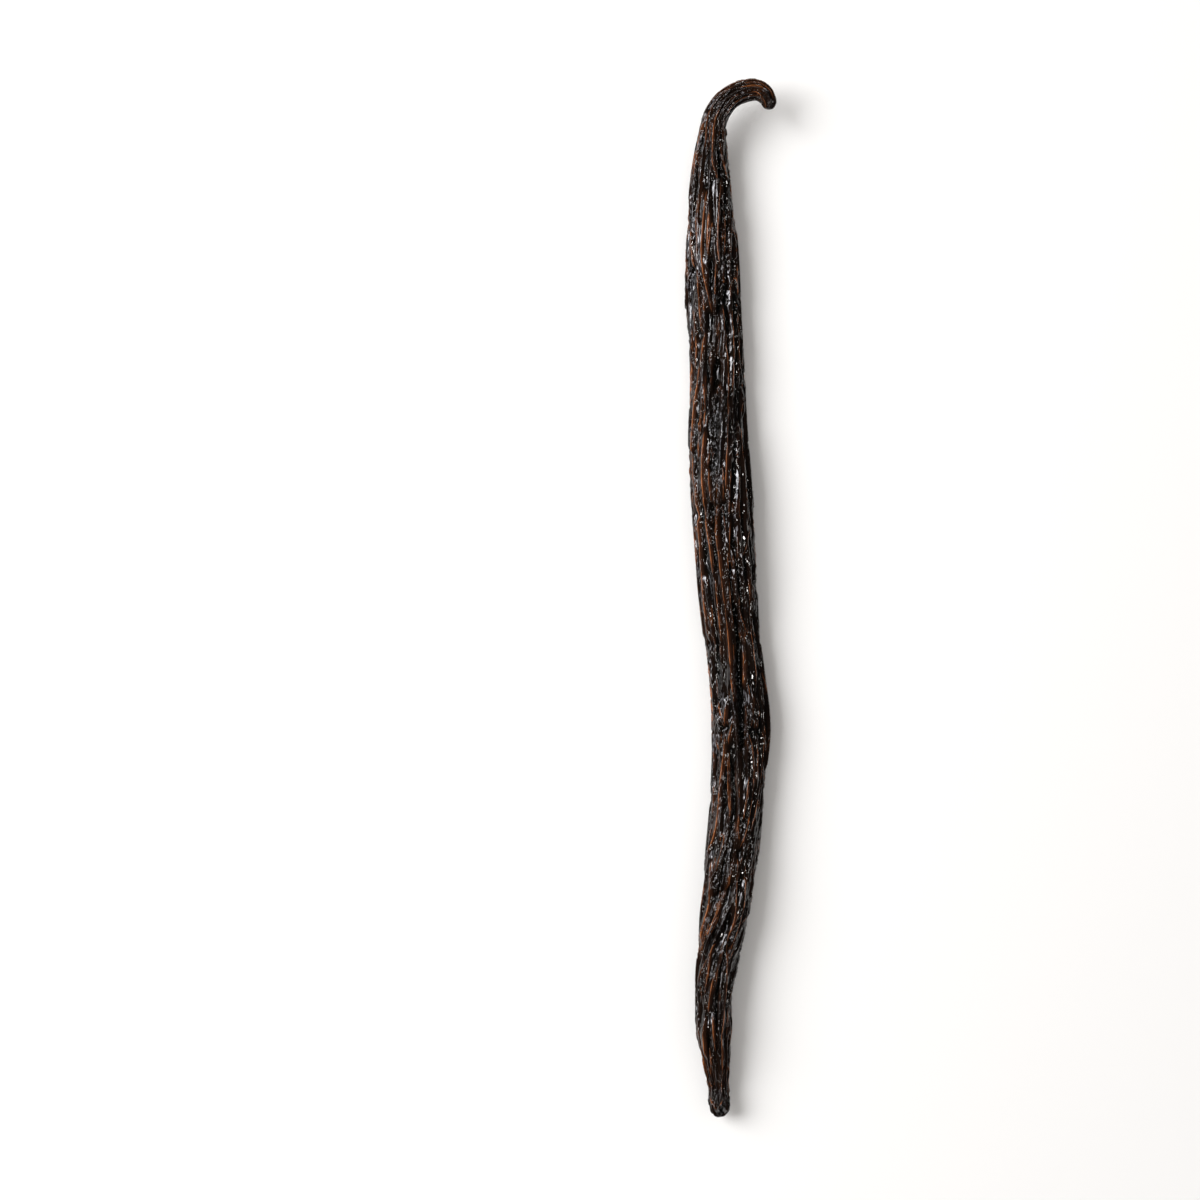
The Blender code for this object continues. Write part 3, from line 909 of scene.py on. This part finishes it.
board = bmesh.new()
bmesh.ops.create_grid(board, x_segments=1, y_segments=1, size=BOARD_REACH)
board_mesh = bpy.data.meshes.new("white_board")
board.to_mesh(board_mesh)
board.free()
floor = bpy.data.objects.new("white_board", board_mesh)
bpy.context.scene.collection.objects.link(floor)
white = bpy.data.materials.new("matt_white_card")
white.use_nodes = True
white_shader = white.node_tree.nodes["Principled BSDF"]
white_shader.inputs["Base Color"].default_value = linear("#f6f6f6")
white_shader.inputs["Roughness"].default_value = 0.9
white_shader.inputs["Specular IOR Level"].default_value = 0.1
board_mesh.materials.append(white)
print("the board is", 2 * BOARD_REACH, "m across")

# %% The room
ROOM_LIGHT = 0.50
ROOM_IN_REFLECTIONS = 0.02

world = bpy.data.worlds.new("pale_room")
world.use_nodes = True
room = world.node_tree.nodes["Background"]
room.inputs["Color"].default_value = (1.0, 0.965, 0.93, 1.0)
ray = add_node(world.node_tree, "ShaderNodeLightPath")
room_strength = add_node(
    world.node_tree,
    "ShaderNodeMapRange",
    {"To Min": ROOM_LIGHT, "To Max": ROOM_IN_REFLECTIONS},
    {"Value": ray.outputs["Is Glossy Ray"]},
)
world.node_tree.links.new(room_strength.outputs["Result"], room.inputs["Strength"])
bpy.context.scene.world = world
print("the room gives", ROOM_LIGHT, "and shows in the gloss as", ROOM_IN_REFLECTIONS)

# %% Lamps
LAMP_DISTANCE = 0.75
WARM_WHITE = (1.0, 0.98, 0.95)
SMALL_LAMP_DIRECTIONS = ((-0.10, 0.30, 0.88), (-0.42, -0.30, 0.86), (0.10, -0.12, 0.98))


def add_lamp(name, long_side, short_side, energy, colour, direction, mirrored):
    """A soft lamp of this size, aimed at the middle of the pod. It either lights or is only mirrored."""
    lamp = bpy.data.lights.new(name, "AREA")
    lamp.shape = "ELLIPSE"
    lamp.size = long_side
    lamp.size_y = short_side
    lamp.energy = energy
    lamp.color = colour
    lamp_object = bpy.data.objects.new(name, lamp)
    lamp_object.location = Vector(direction).normalized() * LAMP_DISTANCE
    lamp_object.rotation_euler = (-lamp_object.location).to_track_quat("-Z", "Y").to_euler()
    lamp_object.visible_camera = False
    lamp_object.visible_glossy = mirrored
    lamp_object.visible_diffuse = not mirrored
    bpy.context.scene.collection.objects.link(lamp_object)


add_lamp("cloth_lamp", 0.62, 0.62, 7.2, (1.0, 0.995, 0.99), (-0.71, 0.24, 0.62), False)
add_lamp("window_lamp", 0.44, 0.25, 1.25, (0.94, 0.93, 1.0), (-0.66, 0.20, 0.66), True)
add_lamp("bare_window", 0.22, 0.14, 1.25, (0.97, 0.97, 1.0), (-0.60, 0.24, 0.72), True)
for number, direction in enumerate(SMALL_LAMP_DIRECTIONS):
    add_lamp(f"small_lamp_{number}", 0.05, 0.05, 0.4, WARM_WHITE, direction, True)
print(3 + len(SMALL_LAMP_DIRECTIONS), "lamps, one of which lights")

# %% [markdown]
# ## The camera
# It looks straight down from far enough to flatten the view, and it is set to one side, so the pod lies right
# of the middle.

# %% Camera
LENS = 85.0
SENSOR = 36.0
VIEW_LENGTHS = 1.158  # the view is this many pod lengths across
ASIDE_LENGTHS = 0.1257  # and its middle is this many pod lengths to the side of the pod

pod_length = (high[1] - low[1]) * MM
camera = bpy.data.cameras.new("camera")
camera.lens = LENS
camera.sensor_width = SENSOR
camera_object = bpy.data.objects.new("camera", camera)
pod_plane = (low[2] + high[2]) / 2 * MM
distance = VIEW_LENGTHS * pod_length * LENS / SENSOR
camera_object.location = (-ASIDE_LENGTHS * pod_length, 0.0, pod_plane + distance)
bpy.context.scene.collection.objects.link(camera_object)
bpy.context.scene.camera = camera_object
bpy.context.scene.view_settings.view_transform = "Standard"
print("camera", round(distance, 3), "m above the pod")
